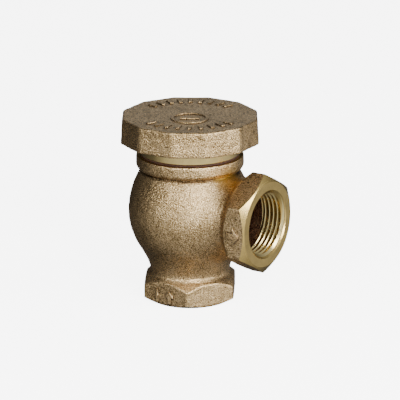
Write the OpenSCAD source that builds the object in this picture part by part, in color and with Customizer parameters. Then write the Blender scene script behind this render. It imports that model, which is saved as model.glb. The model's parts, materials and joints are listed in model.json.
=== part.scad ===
// Angle-pattern pressure relief valve with two female pipe ports.
// Millimetres, +Z up. The origin is the centre of the inlet face. The outlet points along +X.

/* [Ports] */
// Width of the port hexagons across their flats
port_af = 34; // [33.6:0.1:34.5]
// Bore radius inside the crests of the port thread
port_bore_r = 11.85; // [11:0.05:12.2]
// Depth of the tapped bore from the port face
port_depth = 13.9; // [12:0.1:13.9]
// Distance from the valve's axis to the outlet face
outlet_reach = 35; // [34.9:0.1:40]
// Height of the outlet's axis above the inlet face
outlet_z = 34.5; // [34:0.1:35]

/* [Body] */
// Widest outside radius of the bulb
bulb_r = 23.5; // [23:0.1:24.5]
// Wall of the bulb
bulb_wall = 3; // [2.5:0.1:3.2]
// Height of the collar's top face
collar_top = 56.7; // [56.4:0.1:56.7]
// Outside radius of the collar
collar_r = 20.5; // [20:0.1:21.5]

/* [Seat and poppet] */
// Radius of the seat's bore
seat_bore_r = 8; // [7.9:0.05:8.2]
// Height of the seat's lip
seat_z = 20; // [20:0.1:20.2]
// Radius of the stem
stem_r = 2; // [1.8:0.05:2]

/* [Spring] */
// Radius of the spring's wire
wire_r = 1.2; // [0.8:0.05:1.25]
// Radius of the spring's coils, to the middle of the wire
coil_r = 7.2; // [7.1:0.1:7.4]
// Number of turns, closed end turns included
coil_turns = 7.5; // [6:0.5:8]

/* [Bonnet and adjuster] */
// Radius of the bonnet's visible flange
flange_r = 19.1; // [18.9:0.1:20]
// Radius of the thread that holds the bonnet in the body
bonnet_thread_r = 16.45; // [16.2:0.05:16.45]
// Radius of the adjusting screw
screw_r = 4.95; // [4.5:0.05:4.95]
// Width of the lock nut across its flats
lock_nut_af = 16; // [15:0.5:17]

/* [Cap] */
// Number of sides of the cap
cap_sides = 12; // [8:1:16]
// Width of the cap across its flats at the bottom edge
cap_af = 52.1; // [51:0.1:60]
// Height of the cap's bottom edge
cap_bottom = 62.1; // [62.1:0.1:62.5]
// Height of the cap's top face
cap_top = 72; // [71.8:0.1:75]
// Draft angle of the cap's sides
cap_draft = 3; // [1:0.5:7]
// Angle at which the cap stands when it is screwed down
cap_stop = 3; // [0:1:29]
// Height of the raised marks on the castings
mark_h = 0.6; // [0.3:0.1:0.7]

/* [Hidden] */
$fn = 96;

bronze = [0.60, 0.46, 0.33];
brass = [0.72, 0.62, 0.36];
steel = [0.66, 0.66, 0.68];
rubber = [0.12, 0.12, 0.12];
fibre = [0.36, 0.16, 0.11];
copper = [0.72, 0.42, 0.28];

slack = 0.05; // radial play of threads and of washers on the stem
cut = 0.5; // overshoot of every cutting solid

// port bosses, the same at the inlet and at the outlet
port_corner_r = port_af / 2 / cos(30);
port_face_r = 16.4; // turned circle left on the face by the corner chamfer
port_chamfer = (port_corner_r - port_face_r) * tan(30);
port_hex_l = 6.9; // length of the hexagon's corners from the face
port_flare_l = 9.4; // where the flare behind the hexagon ends
port_neck_r = 16.75;
port_mouth = 0.45; // depth of the small countersink at the mouth
outlet_passage_r = 11.6;
outlet_neck_r = 15.6;

// bulb: an upper arc and a lower arc that meet at the outlet's height
upper_arc_r = 30.3;
lower_arc_r = 25.1;
waist_z = 14.2;
waist_r = 15.3;
waist_fillet_r = 4.75;
waist_top_z = 17.2; // where the waist's fillet meets the bulb
neck_top_z = 51.5;
neck_r = 18.9;
collar_round = 1.8;
chamber_floor = 17.6;
chamber_ceiling = 46;
bonnet_bore_r = bonnet_thread_r + slack;
web_bore_r = 10.4;

// seat ring
seat_flange_r = 12.4;
seat_gasket_h = 0.5;
seat_flange_z = chamber_floor + seat_gasket_h;
seat_flange_h = 0.9;
seat_lip_r = 9.3;
seat_slot = 2;

// poppet, from the bottom up
wing_r = seat_bore_r - 0.1;
wing_t = 1.2;
wing_z = 14.6; // above the end of the inlet's tapped bore, so that a pipe can go all the way in
wing_hub_r = 3.4;
disc_washer_r = 7.3;
disc_washer_h = 0.7;
disc_r = 9.9;
disc_h = 2.6;
holder_r = 11.6;
holder_rim = 0.4; // how far the holder's rim stays above the disc's face
holder_top = 25;
holder_boss_r = 10.6;
stem_hole_r = stem_r + slack;
stem_end = 15;
stem_top = 60;
stem_nut_af = 7;
stem_nut_h = 2.4;
plate_r = 9.6;
plate_hole_r = 4.3;
plate_h = 1.2;
spigot_r = coil_r - wire_r - 0.3; // outside of the rings that centre the spring
spigot_wall = 1.3;
spigot_h = 1.6;

// spring
spring_bottom = holder_top + plate_h;
spring_top = 54;
wire_sides = 8;
rings_per_turn = 20;
closed_turns = 1; // turns at each end that lie on their neighbour

// upper spring seat and adjuster
button_r = 9.2;
button_h = 2.4;
button_hole_r = stem_r + 0.4;
thrust_z = spring_top + button_h;
thrust_h = 0.8;
thrust_r = 5.6;
screw_z = thrust_z + thrust_h;
screw_top = 68.6;
screw_bore_r = stem_r + 0.08;
screw_slot_w = 1.6;
screw_slot_h = 2;
lock_washer_z = 62.5;
lock_washer_h = 0.9;
lock_washer_r = 8.4;
lock_nut_h = 3.6;

// bonnet, from the bottom up
flange_z = 57.4;
relief_r = bonnet_thread_r - 0.6;
relief_h = 1.2;
spring_chamber_r = 9.9;
spring_chamber_top = 58.4;
bonnet_pan_r = 14.2;
bonnet_rim_r = 16.9;
bonnet_rim_top = 66.8;
spanner_hole_r = 1.6;
spanner_hole_at = 11.6;
spanner_hole_depth = 2;
gasket_r = 18.7;

// cap
cap_hub_z = 62.9; // the hub's lower face, on the seal ring
cap_thread_r = bonnet_rim_r + 0.1;
cap_hub_r = 19.8;
cap_skirt_r = 23;
cap_roof_z = 70.1;
cap_core_r = 16.3;
cap_core_z = 67.4;
seal_r = 18.8;
seal_hole_r = 17.2;
dash_in = 16.6; // inner end of the raised dashes near the edge
dash_l = 4.2;
dash_w = 1.5;
badge_y = -5.7;
badge_r = 7.2;
badge_w = 1.2;

// A ring turned about the valve's axis, from z up by h
module tube(outer, inner, z, h) {
    translate([0, 0, z]) difference() {
        cylinder(r = outer, h = h);
        translate([0, 0, -cut]) cylinder(r = inner, h = h + 2 * cut);
    }
}

// A hexagon bar along +Z with a corner on +X
module hexagon(af, z, h) {
    translate([0, 0, z]) linear_extrude(h) circle(r = af / 2 / cos(30), $fn = 6);
}

// Points of one wire section, at the turn count t along the spring
function spring_lift(t) =
    let (open = coil_turns - 2 * closed_turns, rise = 2.15 * wire_r)
    let (span = spring_top - spring_bottom - 2 * wire_r - 2 * closed_turns * rise)
    wire_r + rise * min(t, closed_turns)
    + span * max(0, min(t - closed_turns, open)) / open
    + rise * max(0, t - closed_turns - open);

function wire_ring(t) = [
    for (i = [0 : wire_sides - 1])
        let (a = 360 * i / wire_sides, r = coil_r + wire_r * cos(a))
        [r * cos(360 * t), r * sin(360 * t), spring_bottom + spring_lift(t) + wire_r * sin(a)]
];

// Faces of a tube skinned over rings of points, with both ends closed
function skin_faces(rings, sides) = concat(
    [[for (i = [0 : sides - 1]) i]],
    [for (k = [0 : rings - 2], i = [0 : sides - 1])
        let (j = (i + 1) % sides, a = k * sides)
        [a + j, a + i, a + i + sides]],
    [for (k = [0 : rings - 2], i = [0 : sides - 1])
        let (j = (i + 1) % sides, a = k * sides)
        [a + j, a + i + sides, a + j + sides]],
    [[for (i = [sides - 1 : -1 : 0]) (rings - 1) * sides + i]]
);

// Outside of one port: a hexagon, turned to a chamfer at its face and to a flare behind it
module port_boss(neck_l) {
    intersection() {
        hexagon(port_af, 0, port_flare_l);
        rotate_extrude() polygon([
            [0, 0], [port_face_r, 0], [port_corner_r, port_chamfer], [port_corner_r, port_hex_l],
            [port_neck_r, port_flare_l], [0, port_flare_l]
        ]);
    }
    translate([0, 0, port_flare_l - cut]) cylinder(r = outlet_neck_r, h = neck_l);
}

// Tapped bore of one port, with its countersink
module port_bore() {
    translate([0, 0, -cut]) cylinder(r = port_bore_r, h = port_depth + cut);
    translate([0, 0, -cut])
        cylinder(r1 = port_bore_r + port_mouth + cut, r2 = port_bore_r, h = port_mouth + cut);
}

// Puts a port's shape at the outlet, with its face looking along +X
module at_outlet() {
    translate([outlet_reach, 0, outlet_z]) rotate([0, -90, 0]) children();
}

// Half section of the bulb, or of the chamber when it is cut back by the wall
module bulb_half(wall, low, high) {
    intersection() {
        union() {
            translate([bulb_r - upper_arc_r, outlet_z]) intersection() {
                circle(r = upper_arc_r - wall);
                translate([-upper_arc_r, 0]) square(2 * upper_arc_r);
            }
            translate([bulb_r - lower_arc_r, outlet_z]) intersection() {
                circle(r = lower_arc_r - wall);
                translate([-lower_arc_r, -2 * lower_arc_r]) square(2 * lower_arc_r);
            }
        }
        translate([0, low]) square([bulb_r + cut, high - low]);
    }
}

// Half section of the waist between the inlet hexagon and the bulb
module waist_half() {
    difference() {
        translate([0, port_flare_l - cut])
            square([port_neck_r, waist_top_z + cut - port_flare_l]);
        translate([waist_r + waist_fillet_r, waist_z]) circle(r = waist_fillet_r);
    }
}

// Half section of the collar, rounded underneath
module collar_half() {
    translate([0, neck_top_z + collar_round])
        square([collar_r, collar_top - neck_top_z - collar_round]);
    translate([0, neck_top_z]) square([collar_r - collar_round, collar_round]);
    translate([collar_r - collar_round, neck_top_z + collar_round]) circle(r = collar_round);
    translate([0, neck_top_z - 2]) square([neck_r, 3]);
}

// Arrow outline along +X, from the origin
module arrow(length, width) {
    polygon([
        [0, -width / 8], [length / 2, -width / 8], [length / 2, -width / 2], [length, 0],
        [length / 2, width / 2], [length / 2, width / 8], [0, width / 8]
    ]);
}

// Raises a flat outline, drawn in X and Z, on the flats that face -Y
module on_flat(x, z) {
    translate([x, -port_af / 2 + cut, z]) rotate([90, 0, 0]) linear_extrude(cut + mark_h) children();
}

module valve_body() {
    color(bronze) difference() {
        union() {
            port_boss(1);
            at_outlet() port_boss(outlet_reach - port_flare_l - 14);
            rotate_extrude() bulb_half(0, waist_top_z - cut, neck_top_z);
            rotate_extrude() waist_half();
            rotate_extrude() collar_half();
            on_flat(outlet_reach - 7.6, outlet_z - 1) arrow(5.6, 5);
            on_flat(1.6, 1.4) rotate(90) arrow(5, 4.6);
            on_flat(-3.6, 1.4) square([1.1, 5]);
        }
        port_bore();
        at_outlet() port_bore();
        at_outlet() cylinder(r = outlet_passage_r, h = outlet_reach);
        rotate_extrude() bulb_half(bulb_wall, chamber_floor, chamber_ceiling);
        cylinder(r = web_bore_r, h = chamber_floor + cut);
        translate([0, 0, chamber_ceiling - cut])
            cylinder(r = bonnet_bore_r, h = collar_top - chamber_ceiling + 2 * cut);
    }
}

module seat_gasket() {
    color(copper) tube(seat_flange_r, web_bore_r + slack, chamber_floor, seat_gasket_h);
}

module seat_ring() {
    color(brass) difference() {
        union() {
            cylinder(r = web_bore_r - slack, h = seat_flange_z);
            translate([0, 0, seat_flange_z]) cylinder(r = seat_flange_r, h = seat_flange_h);
            cylinder(r = seat_lip_r, h = seat_z);
        }
        cylinder(r = 30, h = port_depth + 0.1);
        cylinder(r = seat_bore_r, h = seat_z + cut);
        for (side = [-1, 1])
            translate([side * (seat_flange_r + seat_lip_r) / 2, 0, seat_flange_z + 1])
                cube([seat_flange_r - seat_lip_r, seat_slot, 2], center = true);
    }
}

module wing_guide() {
    wing_h = seat_z - disc_washer_h - wing_z;
    color(brass) difference() {
        union() {
            translate([0, 0, wing_z]) cylinder(r = wing_hub_r, h = wing_h);
            intersection() {
                translate([0, 0, wing_z]) cylinder(r = wing_r, h = wing_h);
                for (turn = [45, 135])
                    rotate(turn) translate([-20, -wing_t / 2, wing_z]) cube([40, wing_t, wing_h]);
            }
        }
        cylinder(r = stem_hole_r, h = seat_z);
    }
}

module disc_washer() {
    color(steel) tube(disc_washer_r, stem_hole_r, seat_z - disc_washer_h, disc_washer_h);
}

module seat_disc() {
    color(rubber) tube(disc_r, stem_hole_r, seat_z, disc_h);
}

module disc_holder() {
    rim_z = seat_z + holder_rim;
    color(brass) difference() {
        union() {
            translate([0, 0, rim_z]) cylinder(r = holder_r, h = seat_z + disc_h + 1 - rim_z);
            translate([0, 0, rim_z]) cylinder(r = holder_boss_r, h = holder_top - rim_z);
        }
        translate([0, 0, rim_z - cut])
            cylinder(r = disc_r + slack, h = seat_z + disc_h - rim_z + cut);
        cylinder(r = stem_hole_r, h = holder_top + cut);
    }
}

module stem() {
    color(steel) translate([0, 0, stem_end]) cylinder(r = stem_r, h = stem_top - stem_end);
}

module stem_nut() {
    color(steel) difference() {
        hexagon(stem_nut_af, holder_top, stem_nut_h);
        cylinder(r = stem_hole_r, h = stem_top);
    }
}

module lower_spring_plate() {
    color(steel) {
        tube(plate_r, plate_hole_r, holder_top, plate_h);
        tube(spigot_r, spigot_r - spigot_wall, holder_top, plate_h + spigot_h);
    }
}

module spring() {
    rings = coil_turns * rings_per_turn + 1;
    color(steel) polyhedron(
        points = [for (k = [0 : rings - 1]) each wire_ring(k / rings_per_turn)],
        faces = skin_faces(rings, wire_sides),
        convexity = 10
    );
}

module upper_spring_button() {
    color(steel) difference() {
        union() {
            translate([0, 0, spring_top]) cylinder(r = button_r, h = button_h);
            translate([0, 0, spring_top - spigot_h]) cylinder(r = spigot_r, h = spigot_h + 1);
        }
        translate([0, 0, spring_top - spigot_h - cut])
            cylinder(r = button_hole_r, h = spigot_h + button_h + 2 * cut);
    }
}

module thrust_washer() {
    color(steel) tube(thrust_r, button_hole_r, thrust_z, thrust_h);
}

module adjusting_screw() {
    color(brass) difference() {
        tube(screw_r, screw_bore_r, screw_z, screw_top - screw_z);
        translate([0, 0, screw_top])
            cube([3 * screw_r, screw_slot_w, 2 * screw_slot_h], center = true);
    }
}

module lock_washer() {
    color(steel) difference() {
        tube(lock_washer_r, screw_r + 0.3, lock_washer_z, lock_washer_h);
        rotate(20) translate([0, -0.4, lock_washer_z - cut]) cube([20, 0.8, 3]);
    }
}

module lock_nut() {
    nut_z = lock_washer_z + lock_washer_h;
    color(brass) difference() {
        hexagon(lock_nut_af, nut_z, lock_nut_h);
        translate([0, 0, nut_z - cut]) cylinder(r = screw_r + 0.1, h = lock_nut_h + 2 * cut);
    }
}

module bonnet() {
    color(brass) difference() {
        union() {
            translate([0, 0, chamber_ceiling])
                cylinder(r = bonnet_thread_r, h = flange_z - relief_h - chamber_ceiling);
            translate([0, 0, chamber_ceiling]) cylinder(r = relief_r, h = flange_z - chamber_ceiling);
            translate([0, 0, flange_z]) cylinder(r = flange_r, h = cap_bottom - flange_z);
            tube(bonnet_rim_r, bonnet_pan_r, flange_z + 1, bonnet_rim_top - flange_z - 1);
            translate([0, 0, flange_z]) cylinder(r = lock_washer_r + 0.5, h = lock_washer_z - flange_z);
        }
        translate([0, 0, chamber_ceiling - cut])
            cylinder(r = spring_chamber_r, h = spring_chamber_top - chamber_ceiling + cut);
        cylinder(r = screw_r + slack, h = lock_washer_z + cut);
        for (turn = [0 : 90 : 270])
            rotate(turn) translate([spanner_hole_at, 0, cap_bottom - spanner_hole_depth])
                cylinder(r = spanner_hole_r, h = spanner_hole_depth + cut);
    }
}

module bonnet_gasket() {
    color(fibre) tube(gasket_r, bonnet_bore_r + slack, collar_top, flange_z - collar_top);
}

module cap_seal_ring() {
    color(rubber) tube(seal_r, seal_hole_r, cap_bottom, cap_hub_z - cap_bottom);
}

// Solid outside of the cap, with drafted sides
module cap_blank() {
    difference() {
        translate([0, 0, cap_bottom]) cylinder(r = cap_af, h = cap_top - cap_bottom);
        for (side = [0 : cap_sides - 1])
            rotate(360 * side / cap_sides - 90 + cap_stop)
                translate([cap_af / 2, 0, cap_bottom]) rotate([0, -cap_draft, 0])
                    translate([0, -cap_af, -cap_af]) cube([2 * cap_af, 2 * cap_af, 3 * cap_af]);
    }
}

// Plain raised marks: a ring with a bar, and dashes along two arcs near the edge
module cap_marks() {
    rotate(cap_stop + 30) translate([0, badge_y, cap_top - cut]) {
        tube(badge_r, badge_r - badge_w, 0, cut + mark_h);
        translate([-badge_r / 2, -badge_w / 2, 0]) cube([badge_r, badge_w, cut + mark_h]);
    }
    for (turn = [-50 : 12.5 : 50], way = [0, 180])
        rotate(turn + way + cap_stop + 30)
            translate([-dash_w / 2, dash_in, cap_top - cut]) cube([dash_w, dash_l, cut + mark_h]);
}

module cap() {
    color(bronze) difference() {
        union() {
            cap_blank();
            cap_marks();
        }
        tube(cap_skirt_r, cap_hub_r, cap_bottom - cut, cap_roof_z - cap_bottom);
        translate([0, 0, cap_bottom - cut]) cylinder(r = cap_hub_r + cut, h = cap_hub_z - cap_bottom + cut);
        translate([0, 0, cap_bottom]) cylinder(r = cap_thread_r, h = cap_core_z - cap_bottom);
        translate([0, 0, cap_bottom]) cylinder(r = cap_core_r, h = cap_roof_z - cap_bottom);
    }
}

valve_body();
seat_ring();
seat_gasket();
wing_guide();
disc_washer();
seat_disc();
disc_holder();
stem();
stem_nut();
lower_spring_plate();
spring();
upper_spring_button();
thrust_washer();
adjusting_screw();
lock_washer();
lock_nut();
bonnet();
bonnet_gasket();
cap_seal_ring();
cap();
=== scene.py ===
"""Looks of an angle-pattern pressure relief valve: sand-cast bronze, machined brass, steel and rubber.

Castings are grown as smooth distance fields, meshed, and then machined with exact cutters.
Every other piece is turned, milled or wound. Shapes are made in millimetres and stored in metres.
"""

import json
import math

import bmesh
import bpy
import numpy as np
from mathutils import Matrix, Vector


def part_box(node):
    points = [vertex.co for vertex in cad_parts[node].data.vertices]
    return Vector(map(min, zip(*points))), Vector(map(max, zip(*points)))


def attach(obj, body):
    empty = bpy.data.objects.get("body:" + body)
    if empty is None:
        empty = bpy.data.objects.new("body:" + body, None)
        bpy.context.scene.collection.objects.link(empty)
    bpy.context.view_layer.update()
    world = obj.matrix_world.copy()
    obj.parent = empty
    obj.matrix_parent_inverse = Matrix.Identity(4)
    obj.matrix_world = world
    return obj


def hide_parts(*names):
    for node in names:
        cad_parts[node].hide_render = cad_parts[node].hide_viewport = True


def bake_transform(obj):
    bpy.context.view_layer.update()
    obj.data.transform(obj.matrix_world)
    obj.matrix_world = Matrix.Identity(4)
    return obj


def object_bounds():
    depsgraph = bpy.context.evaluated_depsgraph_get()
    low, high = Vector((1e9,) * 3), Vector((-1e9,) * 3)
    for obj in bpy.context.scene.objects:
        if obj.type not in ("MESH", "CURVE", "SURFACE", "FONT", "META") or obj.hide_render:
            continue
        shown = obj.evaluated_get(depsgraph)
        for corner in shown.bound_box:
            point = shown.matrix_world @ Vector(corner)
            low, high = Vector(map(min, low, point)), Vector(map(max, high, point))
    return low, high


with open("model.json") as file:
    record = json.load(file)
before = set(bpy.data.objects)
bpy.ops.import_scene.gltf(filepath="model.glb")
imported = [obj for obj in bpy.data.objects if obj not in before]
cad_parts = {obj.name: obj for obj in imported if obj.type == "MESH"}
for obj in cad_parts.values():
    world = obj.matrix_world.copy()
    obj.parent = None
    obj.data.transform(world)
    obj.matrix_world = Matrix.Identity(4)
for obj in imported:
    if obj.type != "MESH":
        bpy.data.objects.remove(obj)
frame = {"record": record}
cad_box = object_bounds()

import openvdb
from mathutils import Matrix, Vector

MM = 0.001
TAU = 2 * math.pi
RECORD = frame["record"]
MOUNTS = {m["name"]: m for m in RECORD["mounts"]}
BODY_OF = {n: body for body, nodes in RECORD["behaviour"]["bodies"].items() for n in nodes}


def span(node):
    """(lowest z, highest z, half width along Y) of a CAD node, in mm."""
    lo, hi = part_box(node)
    return lo.z / MM, hi.z / MM, max(hi.y, -lo.y) / MM


def corner_of(af):
    """Radius of a hexagon's corners from its width across flats."""
    return af / 2 / math.cos(math.radians(30))


# ------------------------------------------------------------------ sizes, in mm
OUTLET_X = MOUNTS["outlet_port"]["pos_m"][0] / MM
OUTLET_Z = MOUNTS["outlet_port"]["pos_m"][2] / MM
PORT_R = MOUNTS["inlet_port"]["dims"]["r_mm"]
COLLAR_TOP = span("valve_body")[1]
BULB_R = span("valve_body")[2]

# Ports
PORT_AF = 34.0  # hexagon, across flats
PORT_CORNER = corner_of(PORT_AF)
PORT_FACE_R = 16.3  # turned circle left by the chamfer
PORT_HEX_L = 6.9  # depth at which the back flare starts on the hexagon's corners
PORT_FLARE_L = 9.4  # depth at which the flare ends
PORT_FLARE_R = 16.75
PORT_DEPTH = 13.9
PORT_MAJOR = 13.0  # radius of the tap's teeth at its wide end
PORT_PITCH = 25.4 / 14  # 14 threads to the inch
TAPPED = 10.0  # length of full pipe thread, in a bore that is a little deeper

# Body casting
UPPER_ARC = 30.3  # the bulb's arc above the outlet's height
LOWER_ARC = 25.1  # the bulb's arc below it
WAIST_R = 15.3
WAIST_Z = 14.2
OUTLET_NECK_R = 15.4
COLLAR_R = 20.5
COLLAR_Z = 51.5  # the collar's underside
COLLAR_ROUND = 1.8
WALL = 3.0
CHAMBER = (17.6, 46.0)  # floor and roof of the cored chamber
PASSAGE_R = 11.6  # cored passage from the chamber to the outlet
BODY_BLOCK = 25.2  # half width of the block of samples round the body
SPARE = 1.6  # how far that block stands past the body's faces
MARK = 0.6  # height of the raised marks

# Bonnet and cap
FLANGE_R = span("bonnet_gasket")[2] + 0.4
BONNET_LOW, BONNET_HIGH, _ = span("bonnet")
FLANGE_Z = span("bonnet_gasket")[1]
CAP_LOW = span("cap")[0]
CAP_TOP = span("cap")[1] - MARK
CAP_AF = 52.1  # across flats at the lower edge
CAP_SIDES = 12
CAP_DRAFT = 3  # lean of each side, in degrees
CAP_STOP = 3  # turn of the cap when it is screwed down, in degrees
CAP_ROOF = 70.1  # roof of the cap's cored groove
HUB_R = 19.8
HUB_Z = span("cap_seal_ring")[1]
SKIRT_R = 23.0
DASHES = 9  # raised dashes in each of the cap's two arcs
DASH_TURN = 12.5  # degrees from one dash to the next

# Inner pieces
STEM_HOLE = 2.05
SEAT_BORE = 8.0
SPRING_R, WIRE_R, TURNS = 7.2, 1.2, 7.5
SPLIT_Z = 45.4  # height at which the spring is cut into its lower and upper parts

# Screw threads
PITCH_FINE = 1.25  # adjusting screw and lock nut
PITCH_BODY = 1.5  # body, seat, bonnet and cap
PITCH_STEM = 0.7

# Mesh sizes
CAST_STEP = 0.28
CAP_STEP = 0.27
CORE_STEP = 0.7

# Places in the body's list of finishes. The cap's list has the first two, skin and face.
FACE_SLOT, OUTLET_SLOT, CORE_SLOT, THREAD_SLOT = 1, 2, 3, 4
MACHINED = (FACE_SLOT, OUTLET_SLOT, THREAD_SLOT)


# ------------------------------------------------------------------ distance fields
def lattice(lo, hi, step):
    """The axes of a block of sample points, and its x, y and z as arrays that broadcast."""
    axes = [np.arange(a, b + step, step, dtype=np.float32) for a, b in zip(lo, hi)]
    return axes, np.meshgrid(*axes, indexing="ij", sparse=True)


def joined(a, b, r):
    """Union of two fields with a concave fillet of radius r."""
    u, v = np.maximum(r - a, 0), np.maximum(r - b, 0)
    return np.maximum(r, np.minimum(a, b)) - np.hypot(u, v)


def trimmed(a, b, r):
    """Intersection of two fields with its edge rounded to radius r."""
    return -joined(-a, -b, r)


def spline_noise(axes, wavelength, seed):
    """Smooth noise of unit deviation over a block, by cubic splines through a coarse random lattice."""
    rows = []
    for axis in axes:
        at = (axis - axis[0]) / wavelength + 1
        d = np.abs(at[:, None] - np.arange(int(at[-1]) + 3)[None, :])
        inner, outer = 2 / 3 - d * d + d**3 / 2, (2 - d) ** 3 / 6
        rows.append(np.where(d < 1, inner, np.where(d < 2, outer, 0)).astype(np.float32))
    field = np.random.default_rng(seed).standard_normal([r.shape[1] for r in rows]).astype(np.float32)
    field = np.tensordot(rows[0], field, (1, 0))
    field = np.tensordot(rows[1], field, (1, 1)).transpose(1, 0, 2)
    field = np.tensordot(field, rows[2], (2, 1))
    return field / field.std()


def polygon_field(points, u, v):
    """Signed distance to a closed outline, over arrays u and v."""
    best, inside = np.full(np.broadcast(u, v).shape, 1e9, np.float32), 1.0
    for (ax, ay), (bx, by) in zip(points, points[1:] + points[:1]):
        ex, ey, wx, wy = bx - ax, by - ay, u - ax, v - ay
        t = np.clip((wx * ex + wy * ey) / (ex * ex + ey * ey), 0, 1)
        best = np.minimum(best, np.hypot(wx - ex * t, wy - ey * t))
        crosses = (ay <= v) != (by <= v)
        left = ex * wy - ey * wx > 0
        inside = inside * np.where(crosses & (left == (by > ay)), -1.0, 1.0)
    return best * inside


def hexagon_field(u, v, af, r):
    """Distance to a hexagon bar with a corner on the u axis and its edges rounded to r."""
    c, s = math.cos(math.radians(30)), math.sin(math.radians(30))
    sides = [np.abs(v) - af / 2, np.abs(u * c + v * s) - af / 2, np.abs(u * c - v * s) - af / 2]
    return trimmed(trimmed(sides[0], sides[1], r), sides[2], r)


def mesh_of(field, axes, name):
    """A closed mesh of the field's zero surface."""
    step = float(axes[0][1] - axes[0][0])
    band = 3 * step
    grid = openvdb.FloatGrid()
    grid.background = band
    grid.copyFromArray(np.clip(field, -band, band).astype(np.float32))
    points, quads = grid.convertToQuads(0.0)
    origin = np.array([a[0] for a in axes])
    mesh = bpy.data.meshes.new(name)
    mesh.from_pydata(((points * step + origin) * MM).tolist(), [], quads[:, ::-1].tolist())
    mesh.validate()
    made = bmesh.new()
    made.from_mesh(mesh)
    bmesh.ops.recalc_face_normals(made, faces=made.faces)
    made.to_mesh(mesh)
    made.free()
    return mesh


# ------------------------------------------------------------------ objects and cutting
def put(name, mesh, finishes):
    """A new object with its materials, not yet on any body."""
    piece = bpy.data.objects.new(name, mesh)
    bpy.context.scene.collection.objects.link(piece)
    for finish in finishes:
        mesh.materials.append(finish)
    return piece


def use_slot(mesh, slot):
    """Gives every face one material slot. The meshes that meet in a cut share one list of finishes."""
    mesh.polygons.foreach_set("material_index", [slot] * len(mesh.polygons))
    return mesh


def combine(piece, operation, *others):
    """Booleans the other objects into a piece and removes them."""
    for other in others:
        step = piece.modifiers.new("cut", "BOOLEAN")
        step.solver = "MANIFOLD"
        step.operation = operation
        step.object = other
    depsgraph = bpy.context.evaluated_depsgraph_get()
    mesh = bpy.data.meshes.new_from_object(piece.evaluated_get(depsgraph), depsgraph=depsgraph)
    piece.modifiers.clear()
    old = piece.data
    piece.data = mesh
    bpy.data.meshes.remove(old)
    for other in others:
        bpy.data.meshes.remove(other.data)
    return piece


def cut(piece, *cutters):
    return combine(piece, "DIFFERENCE", *cutters)


def finish_edges(piece, angle=32, machined=14):
    """Smooth shading with crisp corners, crisper between two machined faces than on the cast skin."""
    piece.data.shade_smooth()
    piece.data.set_sharp_from_angle(angle=math.radians(angle))
    made = bmesh.new()
    made.from_mesh(piece.data)
    for edge in made.edges:
        sides = edge.link_faces
        if edge.smooth and len(sides) == 2 and all(f.material_index in MACHINED for f in sides):
            edge.smooth = edge.calc_face_angle() < math.radians(machined)
    made.to_mesh(piece.data)
    made.free()
    return piece


def keep(piece, node):
    """Puts a finished piece in the place of its CAD node."""
    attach(piece, BODY_OF[node])
    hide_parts(node)


# ------------------------------------------------------------------ turning
class Thread:
    """A stretch of helical thread at base radius r, from z0 to z1. Its ridges stand depth proud of r."""

    FORM = ((0.0, 1), (0.06, 1), (0.28, 0.5), (0.50, 0), (0.56, 0), (0.78, 0.5))

    def __init__(self, r, z0, z1, pitch, depth, taper=0.0, fade=0.5):
        self.r, self.z0, self.z1, self.pitch, self.depth = r, z0, z1, pitch, depth
        self.taper, self.fade = taper, fade * pitch

    def rings(self, turn):
        lo, hi = sorted((self.z0, self.z1))
        rows = []
        for n in range(math.floor(lo / self.pitch) - 2, math.ceil(hi / self.pitch) + 2):
            for at, height in self.FORM:
                z = np.clip(self.pitch * (n + at + turn / TAU), lo, hi)
                ease = np.clip(np.minimum(z - lo, hi - z) / self.fade, 0, 1)
                r = self.r + self.depth * height * ease - self.taper * (z - lo)
                rows.append((r, z))
        return rows if self.z1 > self.z0 else rows[::-1]


def turned_mesh(name, outline, around):
    """A solid of revolution about Z. outline goes round its half section, and may hold Threads."""
    turn = np.linspace(0, TAU, around + 1)
    rings = []
    for item in outline:
        if isinstance(item, Thread):
            rings += item.rings(turn)
        else:
            rings.append((np.full_like(turn, item[0]), np.full_like(turn, item[1])))
    rings.append(rings[0])
    points = np.array([np.stack([r * np.cos(turn), r * np.sin(turn), z], 1) for r, z in rings])
    count = len(turn)
    index = np.arange(len(rings) * count).reshape(len(rings), count)
    quads = np.stack([index[:-1, :-1], index[:-1, 1:], index[1:, 1:], index[1:, :-1]], -1)
    mesh = bpy.data.meshes.new(name)
    mesh.from_pydata((points.reshape(-1, 3) * MM).tolist(), [], quads.reshape(-1, 4).tolist())
    made = bmesh.new()
    made.from_mesh(mesh)
    bmesh.ops.remove_doubles(made, verts=made.verts, dist=2e-7)
    bmesh.ops.dissolve_degenerate(made, edges=made.edges, dist=1e-8)
    bmesh.ops.recalc_face_normals(made, faces=made.faces)
    made.to_mesh(mesh)
    made.free()
    return mesh


def eased(points, size):
    """The outline with every plain corner off the axis broken by a small chamfer."""
    out = []
    count = len(points)
    for i, p in enumerate(points):
        before, after = points[i - 1], points[(i + 1) % count]
        if isinstance(p, Thread) or p[0] < 1e-6:
            out.append(p)
            continue
        for other in (before, after):
            if isinstance(other, Thread):
                out.append(p)
                break
            apart = math.dist(p, other)
            share = min(size / apart, 0.4) if apart else 0
            out.append(tuple(a + (b - a) * share for a, b in zip(p, other)))
    return out


def turned(name, outline, finishes, slot=0, around=96):
    return put(name, use_slot(turned_mesh(name, outline, around), slot), finishes)


def disc_stack(*steps):
    """Outline of a solid cutter on the axis, from (r, z) steps."""
    return [(0, steps[0][1]), *steps, (0, steps[-1][1])]


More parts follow.
